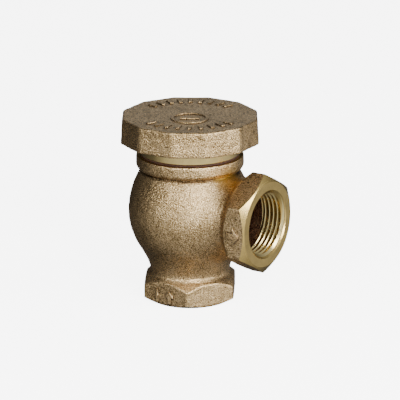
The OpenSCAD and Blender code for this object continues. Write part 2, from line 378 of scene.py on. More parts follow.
def hexagon_mesh(name, af, z0, z1):
    """A hexagon bar along Z with a corner on +X."""
    corner = corner_of(af)
    ring = [(corner * math.cos(a), corner * math.sin(a)) for a in (math.radians(60 * i) for i in range(6))]
    points = [(x * MM, y * MM, z * MM) for z in (z0, z1) for x, y in ring]
    faces = [tuple(range(5, -1, -1)), tuple(range(6, 12))]
    faces += [(i, (i + 1) % 6, 6 + (i + 1) % 6, 6 + i) for i in range(6)]
    mesh = bpy.data.meshes.new(name)
    mesh.from_pydata(points, [], faces)
    return mesh


TO_OUTLET = (Matrix.Translation((OUTLET_X * MM, 0, OUTLET_Z * MM))
             @ Matrix.Rotation(math.radians(-90), 4, "Y"))


# ------------------------------------------------------------------ finishes
def new_finish(name):
    """A node material. Returns it, its nodes, a link function and its shader."""
    made = bpy.data.materials.new(name)
    made.use_nodes = True
    tree = made.node_tree
    return made, tree.nodes, tree.links.new, tree.nodes["Principled BSDF"]


def add(nodes, kind, **values):
    """A node with its settings; a key that names an input sets that input."""
    node = nodes.new(kind)
    for key, value in values.items():
        if key in node.inputs:
            node.inputs[key].default_value = value
        else:
            setattr(node, key, value)
    return node


def ramp(nodes, stops):
    """A colour ramp from (position, colour) stops."""
    node = nodes.new("ShaderNodeValToRGB")
    for i, (at, colour) in enumerate(stops):
        stop = node.color_ramp.elements[i] if i < 2 else node.color_ramp.elements.new(at)
        stop.position, stop.color = at, (*colour, 1)
    return node


def recess(nodes, link, distance, power):
    """0 in tight recesses and 1 on open faces, for painted shade round marks and in grooves."""
    near = add(nodes, "ShaderNodeAmbientOcclusion", samples=8)
    near.inputs["Distance"].default_value = distance
    sharper = add(nodes, "ShaderNodeMath", operation="POWER")
    link(near.outputs["AO"], sharper.inputs[0])
    sharper.inputs[1].default_value = power
    return sharper.outputs["Value"]


def shaded_in_recesses(nodes, link, colour, distance, power, dark, unshaded_at):
    """A colour with painted shade in its recesses: full at the dark stop's position on the ramp and gone at
    the position given for open faces.
    """
    mixed = add(nodes, "ShaderNodeMix", data_type="RGBA", blend_type="MULTIPLY")
    mixed.inputs["Factor"].default_value = 1
    link(colour, mixed.inputs["A"])
    shade_ramp = ramp(nodes, [dark, (unshaded_at, (1, 1, 1))])
    link(recess(nodes, link, distance, power), shade_ramp.inputs["Fac"])
    link(shade_ramp.outputs["Color"], mixed.inputs["B"])
    return mixed.outputs["Result"]


GOLD_SPOT = (0.0195, -0.003, 0.0495)  # middle of a lighter golden patch on the casting beside the outlet's neck, in metres
GOLD_REACH = 0.0075


def cast_finish(name, dark, middle, light):
    """Sand casting: a pebbly grain, darker in its pits, with painted shade in its recesses, and a lighter
    golden patch beside the outlet's neck.
    """
    made, nodes, link, shader = new_finish(name)
    where = add(nodes, "ShaderNodeTexCoord").outputs["Object"]
    blotch = add(nodes, "ShaderNodeTexNoise", Scale=110, Detail=3, Roughness=0.6)
    grain = add(nodes, "ShaderNodeTexNoise", Scale=2800, Detail=1, Roughness=0.5)
    pebble = add(nodes, "ShaderNodeTexVoronoi", feature="SMOOTH_F1", Scale=2000)
    for node in (blotch, grain, pebble):
        link(where, node.inputs["Vector"])
    height = add(nodes, "ShaderNodeMix", data_type="FLOAT")
    height.inputs["Factor"].default_value = 0.45
    link(grain.outputs["Fac"], height.inputs["A"])
    link(pebble.outputs["Distance"], height.inputs["B"])
    both = add(nodes, "ShaderNodeMix", data_type="FLOAT")
    both.inputs["Factor"].default_value = 0.8
    link(blotch.outputs["Fac"], both.inputs["A"])
    link(grain.outputs["Fac"], both.inputs["B"])
    colour = ramp(nodes, [(0.36, dark), (0.48, middle), (0.62, light)])
    link(both.outputs["Result"], colour.inputs["Fac"])
    # Painted shade: the colour is darkened where ambient occlusion finds recesses, round the raised marks and
    # in creases.
    recess_shaded = shaded_in_recesses(nodes, link, colour.outputs["Color"], 0.0018, 2.2, (0.36, (0.08, 0.05, 0.025)), 0.84)
    spot = add(nodes, "ShaderNodeVectorMath", operation="DISTANCE")
    link(where, spot.inputs[0])
    spot.inputs[1].default_value = GOLD_SPOT
    fade = ramp(nodes, [(0.3, (0.55, 0.55, 0.55)), (1.0, (0, 0, 0))])
    share = add(nodes, "ShaderNodeMapRange")
    share.inputs["From Max"].default_value = GOLD_REACH
    link(spot.outputs["Value"], share.inputs["Value"])
    link(share.outputs["Result"], fade.inputs["Fac"])
    gold = add(nodes, "ShaderNodeMix", data_type="RGBA")
    link(fade.outputs["Color"], gold.inputs["Factor"])
    link(recess_shaded, gold.inputs["A"])
    gold.inputs["B"].default_value = (0.62, 0.36, 0.06, 1)
    link(gold.outputs["Result"], shader.inputs["Base Color"])
    rough = add(nodes, "ShaderNodeMapRange")
    rough.inputs["To Min"].default_value = 0.48
    rough.inputs["To Max"].default_value = 0.28
    link(grain.outputs["Fac"], rough.inputs["Value"])
    link(rough.outputs["Result"], shader.inputs["Roughness"])
    bump = add(nodes, "ShaderNodeBump", Strength=1.0, Distance=0.00028)
    link(height.outputs["Result"], bump.inputs["Height"])
    link(bump.outputs["Normal"], shader.inputs["Normal"])
    shader.inputs["Metallic"].default_value = 1.0
    return made


def turned_finish(name, colour, rough, centre=(0, 0, 0), across=("X", "Y"), shade_roots=False):
    """Machined metal with fine tool rings about an axis through centre, with painted shade in the roots of a
    thread if asked.
    """
    made, nodes, link, shader = new_finish(name)
    where = add(nodes, "ShaderNodeTexCoord").outputs["Object"]
    apart = add(nodes, "ShaderNodeSeparateXYZ")
    moved = add(nodes, "ShaderNodeVectorMath", operation="SUBTRACT")
    moved.inputs[1].default_value = centre
    link(where, moved.inputs[0])
    link(moved.outputs["Vector"], apart.inputs["Vector"])
    flat = add(nodes, "ShaderNodeCombineXYZ")
    link(apart.outputs[across[0]], flat.inputs["X"])
    link(apart.outputs[across[1]], flat.inputs["Y"])
    radius = add(nodes, "ShaderNodeVectorMath", operation="LENGTH")
    link(flat.outputs["Vector"], radius.inputs[0])
    along = ({"X", "Y", "Z"} - set(across)).pop()
    lathe = add(nodes, "ShaderNodeCombineXYZ")
    link(radius.outputs["Value"], lathe.inputs["X"])
    link(apart.outputs[along], lathe.inputs["Y"])
    rings = add(nodes, "ShaderNodeTexNoise", Scale=9000, Detail=2)
    link(lathe.outputs["Vector"], rings.inputs["Vector"])
    stain = add(nodes, "ShaderNodeTexNoise", Scale=160, Detail=4, Roughness=0.6)
    link(where, stain.inputs["Vector"])
    tint = ramp(nodes, [(0.30, [c * 0.80 for c in colour]), (0.70, [min(1, c * 1.10) for c in colour])])
    link(stain.outputs["Fac"], tint.inputs["Fac"])
    link(tint.outputs["Color"], shader.inputs["Base Color"])
    # Painted shade: the colour is darkened by ambient occlusion in the roots of a thread.
    if shade_roots:
        root_shaded = shaded_in_recesses(nodes, link, tint.outputs["Color"], 0.0007, 1.3, (0.04, (0.13, 0.09, 0.055)), 0.22)
        link(root_shaded, shader.inputs["Base Color"])
    wear = add(nodes, "ShaderNodeMapRange")
    wear.inputs["To Min"].default_value = rough * 0.8
    wear.inputs["To Max"].default_value = rough * 1.3
    link(rings.outputs["Fac"], wear.inputs["Value"])
    link(wear.outputs["Result"], shader.inputs["Roughness"])
    bump = add(nodes, "ShaderNodeBump", Strength=0.6, Distance=1.6e-5)
    link(rings.outputs["Fac"], bump.inputs["Height"])
    link(bump.outputs["Normal"], shader.inputs["Normal"])
    shader.inputs["Metallic"].default_value = 1.0
    return made


def soft_finish(name, dark, light, rough, scale, depth):
    """Rubber or pressed fibre, with a fine surface grain."""
    made, nodes, link, shader = new_finish(name)
    where = add(nodes, "ShaderNodeTexCoord").outputs["Object"]
    grain = add(nodes, "ShaderNodeTexNoise", Scale=scale, Detail=5, Roughness=0.65)
    link(where, grain.inputs["Vector"])
    colour = ramp(nodes, [(0.35, dark), (0.68, light)])
    link(grain.outputs["Fac"], colour.inputs["Fac"])
    link(colour.outputs["Color"], shader.inputs["Base Color"])
    bump = add(nodes, "ShaderNodeBump", Strength=0.5, Distance=depth)
    link(grain.outputs["Fac"], bump.inputs["Height"])
    link(bump.outputs["Normal"], shader.inputs["Normal"])
    shader.inputs["Roughness"].default_value = rough
    return made


BRASS = (0.62, 0.45, 0.155)
STEEL = (0.52, 0.52, 0.53)
CAST = cast_finish("cast_bronze_skin", (0.09, 0.055, 0.02), (0.36, 0.245, 0.115), (0.70, 0.505, 0.275))
CORED = cast_finish("cored_bronze_skin", (0.07, 0.03, 0.016), (0.25, 0.12, 0.065), (0.55, 0.33, 0.19))
FACED = turned_finish("faced_bronze", BRASS, 0.24)
FACED_OUTLET = turned_finish("faced_outlet_bronze", BRASS, 0.24, (0, 0, OUTLET_Z * MM), ("Y", "Z"))
# The thread's roots get painted shade.
THREADED = turned_finish("cut_thread_bronze", (0.72, 0.585, 0.27), 0.2, shade_roots=True)
BRIGHT = turned_finish("turned_brass", (0.62, 0.48, 0.21), 0.2)
STAINLESS = turned_finish("turned_stainless", STEEL, 0.22)
WIRE = turned_finish("drawn_spring_wire", (0.36, 0.36, 0.37), 0.34)
COPPER = turned_finish("annealed_copper", (0.70, 0.36, 0.22), 0.35)
RUBBER = soft_finish("black_rubber", (0.012, 0.012, 0.012), (0.03, 0.03, 0.03), 0.55, 900, 4e-5)
FIBRE = soft_finish("pressed_fibre", (0.02, 0.007, 0.003), (0.06, 0.02, 0.009), 0.9, 1400, 8e-5)


# ------------------------------------------------------------------ the body casting
def bulb(r, z):
    """Egg-shaped bulb of two arcs that meet at the outlet's height."""
    upper = np.hypot(r - (BULB_R - UPPER_ARC), z - OUTLET_Z) - UPPER_ARC
    lower = np.hypot(r - (BULB_R - LOWER_ARC), z - OUTLET_Z) - LOWER_ARC
    return np.where(z > OUTLET_Z, upper, lower)


def boss(depth, u, v):
    """One port's rough casting, depth behind its face, with 1 mm of stock left on the face."""
    r = np.hypot(u, v)
    run, drop = PORT_FLARE_L - PORT_HEX_L, PORT_CORNER - PORT_FLARE_R
    flare = ((r - PORT_CORNER) * run + (depth - PORT_HEX_L) * drop) / math.hypot(run, drop)
    blank = trimmed(hexagon_field(u, v, PORT_AF, 0.4), flare, 0.3)
    return np.maximum(blank, -1 - depth)


def arrow_points(length, width):
    """An arrow along +X from the origin."""
    shaft, barb = width / 6, length * 0.48
    half = [(0, -shaft), (barb, -shaft), (barb, -width / 2)]
    return [*half, (length, 0), *[(x, -y) for x, y in reversed(half)]]


def moved_points(points, x, z, quarter_turns=0):
    """An outline turned about the origin and then moved."""
    for _ in range(quarter_turns):
        points = [(-b, a) for a, b in points]
    return [(a + x, b + z) for a, b in points]


def bar_points(w, h):
    return [(0, 0), (w, 0), (w, h), (0, h)]


def raised(x, y, z, points):
    """A mark standing on the flats that face -Y."""
    face = np.abs(y + PORT_AF / 2) - MARK
    return trimmed(polygon_field(points, x, z), face, 0.08)


def body_field(x, y, z):
    """The outside of the raw casting."""
    r = np.hypot(x, y)
    across = np.hypot(y, z - OUTLET_Z)
    shell = np.maximum(bulb(r, z), z - COLLAR_Z)
    waist = np.maximum(r - WAIST_R, np.abs(z - WAIST_Z) - 8)
    shell = joined(shell, waist, 4.2)
    neck = np.maximum(across - OUTLET_NECK_R, np.abs(x - OUTLET_X / 2) - OUTLET_X / 2 + PORT_FLARE_L)
    shell = joined(shell, neck, 3.2)
    shell = joined(shell, boss(z, x, y), 1.0)
    shell = joined(shell, boss(OUTLET_X - x, z - OUTLET_Z, y), 1.0)
    middle, half = (COLLAR_Z + COLLAR_TOP + 1) / 2, (COLLAR_TOP + 1 - COLLAR_Z) / 2
    collar = trimmed(r - COLLAR_R, np.abs(z - middle) - half, COLLAR_ROUND)
    shell = joined(shell, collar, 0.5)
    marks = [moved_points(arrow_points(5.8, 6.8), OUTLET_X - 7.6, OUTLET_Z - 1),
             moved_points(arrow_points(5.4, 5.0), 1.8, 1.2, 1),
             moved_points(bar_points(1.3, 5.4), -4.4, 1.2)]
    for points in marks:
        shell = joined(shell, raised(x, y, z, points), 0.05)
    return shell


def core_field(x, y, z):
    """The cavity that the core leaves: the chamber and the passage to the outlet."""
    r = np.hypot(x, y)
    across = np.hypot(y, z - OUTLET_Z)
    low, high = CHAMBER
    chamber = trimmed(bulb(r, z) + WALL, np.abs(z - (low + high) / 2) - (high - low) / 2, 1.2)
    passage = np.maximum(across - PASSAGE_R, np.abs(x - OUTLET_X / 2) - OUTLET_X / 2 + 8)
    return joined(chamber, passage, 1.5)


def skin(field, axes, seed):
    """Sand texture of a casting: slow waves and fine grain."""
    waves = 0.03 * spline_noise(axes, 7, seed)
    grain = 0.028 * spline_noise(axes, 1.0, seed + 1)
    return field + waves + grain


def port_cutters(place):
    """Facing tool, countersink, tapered pipe tap and blind drill for one port, moved to its place."""
    chamfer = math.tan(math.radians(30))
    wide = PORT_CORNER + 3
    face = disc_stack((wide, -4), (wide, (wide - PORT_FACE_R) * chamfer), (PORT_FACE_R, 0))
    sink = PORT_MAJOR + 0.2
    hole = disc_stack((sink + 2, -2), (PORT_R - 0.1, sink - PORT_R + 0.1), (PORT_R - 0.1, TAPPED))
    depth = PORT_MAJOR - PORT_R
    tap = [(0, -3), Thread(PORT_R, -3, TAPPED, PORT_PITCH, depth, 1 / 32), (0, TAPPED)]
    blind = disc_stack((PORT_R, TAPPED - 1), (PORT_R, PORT_DEPTH))
    tools = (("face", face, FACE_SLOT), ("sink", hole, FACE_SLOT), ("tap", tap, THREAD_SLOT),
             ("blind", blind, CORE_SLOT))
    made = [turned(name, outline, [CAST], slot, 128) for name, outline, slot in tools]
    for cutter in made:
        cutter.data.transform(place)
    return made


def make_body():
    low = (-BODY_BLOCK, -BODY_BLOCK, -SPARE)
    high = (OUTLET_X + SPARE, BODY_BLOCK, COLLAR_TOP + SPARE)
    axes, grid = lattice(low, high, CAST_STEP)
    outside = mesh_of(skin(body_field(*grid), axes, 11), axes, "cast_body")
    casting = put("cast_body", outside, [CAST, FACED, FACED_OUTLET, CORED, THREADED])
    axes, grid = lattice(low, high, CORE_STEP)
    inside = mesh_of(skin(core_field(*grid), axes, 21), axes, "core")
    cutters = [put("core", use_slot(inside, CORE_SLOT), [CAST])]
    cutters += port_cutters(Matrix.Identity(4))
    outlet = port_cutters(TO_OUTLET)
    for cutter in outlet[:2]:
        use_slot(cutter.data, OUTLET_SLOT)
    cutters += outlet
    top = COLLAR_TOP
    facing = disc_stack((40, top), (40, top + 4))
    tap = [(0, 44), Thread(15.68, 44, top + 3, PITCH_BODY, 0.82, 0), (0, top + 3)]
    mouth = disc_stack((17.6, top + 1), (15.7, top - 0.9))
    web = [(0, 10), Thread(9.75, 10, CHAMBER[0] + 3, PITCH_BODY, 0.67), (0, CHAMBER[0] + 3)]
    spot = disc_stack((12.9, CHAMBER[0]), (12.9, CHAMBER[0] + 1.5))
    for name, outline in (("facing", facing), ("tap", tap), ("mouth", mouth), ("web", web), ("spot", spot)):
        cutters.append(turned(name, outline, [CAST], FACE_SLOT, 128))
    cut(casting, *cutters)
    keep(finish_edges(casting), "valve_body")


# ------------------------------------------------------------------ the cap casting
def cap_marks(x, y):
    """Plain marks in plan: a ring with a bar, and two arcs of dashes. They stand in for lettering."""
    turn = math.radians(CAP_STOP + 30)
    u, v = x * math.cos(turn) + y * math.sin(turn), y * math.cos(turn) - x * math.sin(turn)
    marks = np.abs(np.hypot(u, v + 5.7) - 6.6) - 0.6
    marks = np.minimum(marks, polygon_field(moved_points(bar_points(7.2, 2.0), -3.6, -6.7), u, v))
    for k in range(DASHES):
        for way in (0, 180):
            a = math.radians(DASH_TURN * (k - DASHES // 2) + way)
            p, q = u * math.cos(a) + v * math.sin(a), v * math.cos(a) - u * math.sin(a)
            marks = np.minimum(marks, polygon_field(moved_points(bar_points(1.5, 4.2), -0.75, 16.6), p, q))
    return marks


def cap_field(x, y, z):
    """The raw cap: a drafted twelve-sided block with a cored groove between its hub and its skirt."""
    lean = math.radians(CAP_DRAFT)
    shell = None
    for k in range(CAP_SIDES):
        a = math.radians(360 / CAP_SIDES * k - 90 + CAP_STOP)
        side = (x * math.cos(a) + y * math.sin(a) - CAP_AF / 2) * math.cos(lean)
        side = side + (z - CAP_LOW) * math.sin(lean)
        shell = side if shell is None else trimmed(shell, side, 0.5)
    shell = trimmed(trimmed(shell, z - CAP_TOP + 0.04, 0.6), CAP_LOW - z + 0.06, 0.5)
    marks = trimmed(cap_marks(x, y), np.abs(z - CAP_TOP) - MARK + 0.1, 0.1)
    shell = joined(shell, marks, 0.05)
    r = np.hypot(x, y)
    groove = trimmed(np.abs(r - (HUB_R + SKIRT_R) / 2) - (SKIRT_R - HUB_R) / 2, z - CAP_ROOF, 1.0)
    core = trimmed(r - 15.7, z - CAP_ROOF, 1.2)
    return trimmed(shell, -np.minimum(groove, core), 0.5)


def make_cap():
    wide = CAP_AF / 2 / math.cos(math.radians(180 / CAP_SIDES)) + 1
    axes, grid = lattice((-wide, -wide, CAP_LOW - 1), (wide, wide, CAP_TOP + 1.4), CAP_STEP)
    outside = mesh_of(skin(cap_field(*grid), axes, 31), axes, "cast_cap")
    cap = put("cast_cap", outside, [CAST, FACED])
    below = CAP_LOW - 3
    face = disc_stack((HUB_R + 0.5, below), (HUB_R + 0.5, HUB_Z))
    bore = disc_stack((18.1, below), (18.1, HUB_Z - 0.1), (16.13, HUB_Z + 1.1), (16.13, 68.2))
    tap = [(0, below), Thread(16.13, below, 68, PITCH_BODY, 0.87, fade=0.7), (0, 68)]
    tools = (("face", face), ("bore", bore), ("tap", tap))
    cut(cap, *(turned(name, outline, [CAST], FACE_SLOT, 128) for name, outline in tools))
    keep(finish_edges(cap), "cap")


# ------------------------------------------------------------------ turned, milled and wound pieces
def bush(inner, outer, low, high):
    """Outline of a plain ring."""
    return [(inner, low), (outer, low), (outer, high), (inner, high)]


def box(name, low, high, turn=0):
    """A box turned about Z, as a cutter or a blank."""
    made = bmesh.new()
    bmesh.ops.create_cube(made, size=1)
    size, middle = Vector(high) - Vector(low), (Vector(high) + Vector(low)) / 2
    place = Matrix.Translation(middle * MM) @ Matrix.Diagonal((*(size * MM), 1))
    made.transform(Matrix.Rotation(math.radians(turn), 4, "Z") @ place)
    mesh = bpy.data.meshes.new(name)
    made.to_mesh(mesh)
    made.free()
    return put(name, mesh, [])


def swept(name, rings, finish):
    """A skin over rings of points in mm, with both ends closed."""
    count, sides = rings.shape[:2]
    index = np.arange(count * sides).reshape(count, sides)
    after = np.roll(index, -1, 1)
    quads = np.stack([index[:-1], after[:-1], after[1:], index[1:]], -1).reshape(-1, 4).tolist()
    mesh = bpy.data.meshes.new(name)
    mesh.from_pydata((rings.reshape(-1, 3) * MM).tolist(), [],
                     quads + [index[0, ::-1].tolist(), index[-1].tolist()])
    made = bmesh.new()
    made.from_mesh(mesh)
    bmesh.ops.recalc_face_normals(made, faces=made.faces)
    made.to_mesh(mesh)
    made.free()
    return put(name, mesh, [finish])


def plain(node, name, outline, finish, size=0.15):
    """A turned piece with every corner broken."""
    keep(finish_edges(turned(name, eased(outline, size), [finish])), node)


def tapped(piece, thread, low, high):
    """Cuts a female thread through a piece."""
    return cut(piece, turned("tap", [(0, low), thread, (0, high)], []))


def hexagon_nut(node, name, af, bore, pitch, depth, finish):
    """A nut with both faces chamfered at 30 degrees and both ends of its thread countersunk."""
    low, high, _ = span(node)
    wide, ring = corner_of(af) + 0.3, af / 2 * 0.95
    drop = (wide - ring) * math.tan(math.radians(30))
    nut = put(name, use_slot(hexagon_mesh(name, af, low - 1, high + 1), 0), [finish])
    ends = [(0, low), (ring, low), (wide, low + drop), (wide, high - drop), (ring, high), (0, high)]
    combine(nut, "INTERSECT", turned("ends", ends, [finish]))
    sink = bore + depth + 0.15
    low_sink = disc_stack((sink + 1, low - 1), (bore - 0.2, low + sink - bore + 0.2))
    high_sink = disc_stack((bore - 0.2, high - sink + bore - 0.2), (sink + 1, high + 1))
    cut(nut, turned("low_sink", low_sink, [], around=64), turned("high_sink", high_sink, [], around=64))
    tapped(nut, Thread(bore, low - 2, high + 2, pitch, depth), low - 2, high + 2)
    keep(finish_edges(nut), node)


def make_seat_gasket():
    low, high, r = span("seat_gasket")
    plain("seat_gasket", "copper_gasket", bush(10.45, r, low, high), COPPER, 0.12)


def make_seat_ring():
    gasket_top = span("seat_gasket")[1]
    low, lip, _ = span("seat_ring")
    thread = Thread(9.62, low + 0.1, CHAMBER[0] - 0.1, PITCH_BODY, 0.7)
    flange = [(9.5, gasket_top), (12.2, gasket_top), (12.4, gasket_top + 0.2), (12.4, gasket_top + 0.8),
              (12.3, gasket_top + 0.9), (9.5, gasket_top + 0.9), (9.3, gasket_top + 1.1)]
    outline = [(SEAT_BORE + 0.3, low), (9.3, low), thread, (9.5, CHAMBER[0]), *flange, (9.1, lip - 0.3),
               (8.8, lip), (8.3, lip), (SEAT_BORE, lip - 0.3), (SEAT_BORE, low + 0.3)]
    seat = turned("seat", outline, [BRIGHT], around=128)
    cut(seat, *(box("slot", (9.3, -1, gasket_top), (13, 1, lip + 1), turn) for turn in (0, 180)))
    keep(finish_edges(seat), "seat_ring")


def make_wing_guide():
    low, high, r = span("wing_guide")
    wings = box("wing_guide_mesh", (-9, -0.6, low - 1), (9, 0.6, high + 1), 45)
    combine(wings, "UNION", box("wing", (-9, -0.6, low - 1), (9, 0.6, high + 1), 135))
    ends = [(0, low), (r - 0.6, low), (r, low + 0.8), (r, high - 0.4), (r - 0.4, high), (0, high)]
    combine(wings, "INTERSECT", turned("ends", ends, []))
    hub = [(0, low), (3.1, low), (3.4, low + 0.3), (3.4, high), (0, high)]
    combine(wings, "UNION", turned("hub", hub, [], around=64))
    hole = disc_stack((STEM_HOLE + 0.5, low - 0.2), (STEM_HOLE, low + 0.3), (STEM_HOLE, high + 1))
    cut(wings, turned("hole", hole, [], around=64))
    wings.data.materials.append(BRIGHT)
    keep(finish_edges(wings), "wing_guide")


def make_disc_washer():
    low, high, r = span("disc_washer")
    plain("disc_washer", "clamp_washer", bush(STEM_HOLE, r, low, high), STAINLESS)


def make_seat_disc():
    """The rubber disc, with the shallow groove that the seat's lip has pressed into it."""
    low, high, r = span("seat_disc")
    groove = [(SEAT_BORE + 0.1, low), (SEAT_BORE + 0.3, low + 0.08), (9.1, low + 0.08), (9.3, low)]
    outline = [(STEM_HOLE, low), *groove, (r - 0.2, low), (r, low + 0.25), (r, high - 0.2),
               (r - 0.2, high), (STEM_HOLE, high)]
    keep(finish_edges(turned("rubber_disc", outline, [RUBBER])), "seat_disc")


def make_disc_holder():
    roof = span("seat_disc")[1]
    rim, top, r = span("disc_holder")
    outline = [(STEM_HOLE, roof), (9.95, roof), (9.95, rim + 0.15), (10.1, rim), (r - 0.25, rim),
               (r, rim + 0.25), (r, roof + 0.75), (r - 0.25, roof + 1), (10.8, roof + 1), (10.6, roof + 1.2),
               (10.6, top - 0.4), (10.2, top), (STEM_HOLE + 0.3, top), (STEM_HOLE, top - 0.3)]
    keep(finish_edges(turned("holder", outline, [BRIGHT], around=128)), "disc_holder")


def make_stem():
    start = span("disc_holder")[1] - 0.4
    end = start + 3.8
    low, high, r = span("stem")
    outline = [(0, low + 0.5), (0.5, low), (r - 0.3, low), (r, low + 0.3), (r, start - 0.1), (1.6, start),
               Thread(1.6, start, end, PITCH_STEM, 0.38), (1.6, end), (r, end + 0.2), (r, high - 0.5),
               (r - 0.15, high - 0.2), (r - 0.6, high), (0.5, high), (0, high - 0.5)]
    keep(finish_edges(turned("stem_rod", outline, [STAINLESS], around=64)), "stem")
    hexagon_nut("stem_nut", "stem_locknut", 7, 1.68, PITCH_STEM, 0.38, STAINLESS)


def make_lower_spring_plate():
    low, high, r = span("lower_spring_plate")
    outline = [(4.3, low), (r, low), (r, low + 1.2), (5.7, low + 1.2), (5.7, high), (4.4, high),
               (4.4, low + 1.2), (4.3, low + 1)]
    plain("lower_spring_plate", "lower_seat_plate", outline, STAINLESS)


def spring_rings(around=16, per_turn=40):
    """Rings of the wire. The end turns lie close, and dip past the ends so that grinding leaves them flat."""
    low, high, _ = span("spring")
    t = np.linspace(0, TURNS, int(TURNS * per_turn) + 1)
    first, last = np.maximum(0, 1 - t), np.maximum(0, t - TURNS + 1)
    rise, dip = 2.15 * WIRE_R, 0.5 * WIRE_R
    pitch = (high - low - 2 * WIRE_R - 2 * rise) / (TURNS - 2)
    z = low + WIRE_R + rise * np.minimum(t, 1) + pitch * np.clip(t - 1, 0, TURNS - 2)
    z = z + rise * last - dip * first + dip * last
    a = np.linspace(0, TAU, around, endpoint=False)[None, :]
    wire = WIRE_R * 0.98
    r = SPRING_R + wire * np.cos(a)
    return np.stack([r * np.cos(TAU * t)[:, None], r * np.sin(TAU * t)[:, None],
                     z[:, None] + wire * np.sin(a)], -1)


def make_spring():
    """Two halves of one coil, cut apart at SPLIT_Z."""
    low, high, _ = span("spring")
    parts = (("lower_coils", low, SPLIT_Z, "poppet", "body", low + 2.4, SPLIT_Z),
             ("upper_coils", SPLIT_Z, high, "body", "spring_seat", SPLIT_Z, high - 2.4))
    for name, start, end, first, second, bend_from, bend_to in parts:
        coils = swept(name, spring_rings(), WIRE)
        above = box("grind", (-15, -15, end), (15, 15, high + 9))
        below = box("grind", (-15, -15, low - 9), (15, 15, start))
        cut(coils, above, below)
        finish_edges(coils, 50)
        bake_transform(coils)
        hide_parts("spring")


def make_upper_spring_button():
    low, high, r = span("upper_spring_button")
    outline = [(2.4, low), (5.5, low), (5.7, low + 0.3), (5.7, low + 1.6), (r - 0.2, low + 1.6),
               (r, low + 1.8), (r, high - 0.5), (r - 0.6, high), (6.2, high), (2.6, high), (2.4, high - 0.2)]
    keep(finish_edges(turned("spring_button", outline, [STAINLESS])), "upper_spring_button")


def make_thrust_washer():
    low, high, r = span("thrust_washer")
    plain("thrust_washer", "hard_washer", bush(2.4, r, low, high), STAINLESS)


def make_adjusting_screw():
    low, high, _ = span("adjusting_screw")
    outline = [(2.3, low), (4.0, low), (4.2, low + 0.2), (4.2, low + 0.6),
               Thread(4.25, low + 0.7, high - 0.5, PITCH_FINE, 0.68), (4.2, high - 0.4), (3.9, high),
               (2.4, high), (2.08, high - 0.3), (2.08, low + 0.2)]
    screw = turned("hollow_screw", outline, [BRIGHT])
    cut(screw, box("slot", (-9, -0.8, high - 2), (9, 0.8, high + 1)))
    keep(finish_edges(screw), "adjusting_screw")


def make_lock_washer():
    low, high, r = span("lock_washer")
    gap = 3.4  # degrees on each side of the split
    a = np.radians(np.linspace(20 + gap, 380 - gap, 97))
    section = np.array([(5.35, low), (r - 0.1, low), (r, low + 0.12), (r, high - 0.12), (r - 0.1, high),
                        (5.35, high), (5.25, high - 0.12), (5.25, low + 0.12)])
    rings = np.stack([np.outer(np.cos(a), section[:, 0]), np.outer(np.sin(a), section[:, 0]),
                      np.tile(section[:, 1], (len(a), 1))], -1)
    keep(finish_edges(swept("split_washer", rings, STAINLESS)), "lock_washer")


def make_lock_nut():
    hexagon_nut("lock_nut", "thin_locknut", 16, 4.34, PITCH_FINE, 0.66, BRIGHT)


def make_bonnet():
    low, top, flange = BONNET_LOW, BONNET_HIGH, CAP_LOW
    outline = [(9.9, low + 0.3), (10.2, low), (15.2, low), (15.5, low + 0.4),
               Thread(15.55, low + 0.6, 56.0, PITCH_BODY, 0.85), (15.5, 56.2), (15.5, FLANGE_Z),
               (FLANGE_R - 0.35, FLANGE_Z), (FLANGE_R, FLANGE_Z + 0.35), (FLANGE_R, flange - 0.3),
               (FLANGE_R - 0.3, flange), (16.0, flange), (15.95, flange + 0.4),
               Thread(16.0, flange + 0.45, top - 0.4, PITCH_BODY, 0.85), (15.9, top - 0.3), (15.6, top),
               (14.4, top), (14.2, top - 0.2), (14.2, flange + 0.3), (13.9, flange), (8.9, flange),
               (8.9, flange + 0.3), (8.8, flange + 0.4), (5.4, flange + 0.4), (4.3, flange - 0.7),
               (4.3, 59.0), (5.1, 58.4), (9.6, 58.4), (9.9, 58.1)]
    bonnet = turned("bonnet_mesh", outline, [BRIGHT], around=160)
    tapped(bonnet, Thread(4.34, 56, 66, PITCH_FINE, 0.66), 56, 66)
    hole = disc_stack((0.01, -2.5), (1.6, -2.0), (1.6, -0.2), (1.9, 0.8))
    for turn in range(0, 360, 90):
        drill = turned("drill", hole, [], around=32)
        place = Matrix.Translation((11.6 * MM, 0, flange * MM))
        drill.data.transform(Matrix.Rotation(math.radians(turn), 4, "Z") @ place)
        cut(bonnet, drill)
    keep(finish_edges(bonnet), "bonnet")


def make_bonnet_gasket():
    low, high, r = span("bonnet_gasket")
    plain("bonnet_gasket", "fibre_gasket", bush(16.6, r, low, high), FIBRE, 0.12)


def make_cap_seal_ring():
    low, high, r = span("cap_seal_ring")
    plain("cap_seal_ring", "seal_ring", bush(17.2, r, low, high), RUBBER, 0.3)


make_body()
make_cap()
make_seat_gasket()
make_seat_ring()
make_wing_guide()
make_disc_washer()
make_seat_disc()
make_disc_holder()
make_stem()
make_lower_spring_plate()
make_spring()
make_upper_spring_button()
make_thrust_washer()
make_adjusting_screw()
make_lock_washer()
make_lock_nut()
make_bonnet()
make_bonnet_gasket()
make_cap_seal_ring()


# ------------------------------------------------------------------ camera, floor and light
AZIMUTH, ELEVATION = math.radians(33.4), math.radians(17.5)
DISTANCE = 1.0
VIEW_WIDTH = 0.152905  # what the picture takes in at the valve, in metres
AIM_RIGHT, AIM_UP = 0.0038, 0.0017  # how far the camera aims off the valve's middle
LIGHTS_AIM = Vector((0, 0, 0.036))  # the point that every soft box looks at
KEY_AZIMUTH = math.radians(57)  # direction of the bright side of the room
FLOOR_REACH = 30.0
BACKDROP_R, BACKDROP_H = 4, 3  # pale wall round the floor, which hides the horizon
PALE_GLOW = 6.0


def direction(azimuth, elevation):
    """Unit vector toward a viewpoint. Azimuth 0 stands at -Y and 90 at +X."""
    return Vector((math.sin(azimuth) * math.cos(elevation), -math.cos(azimuth) * math.cos(elevation),
                   math.sin(elevation)))


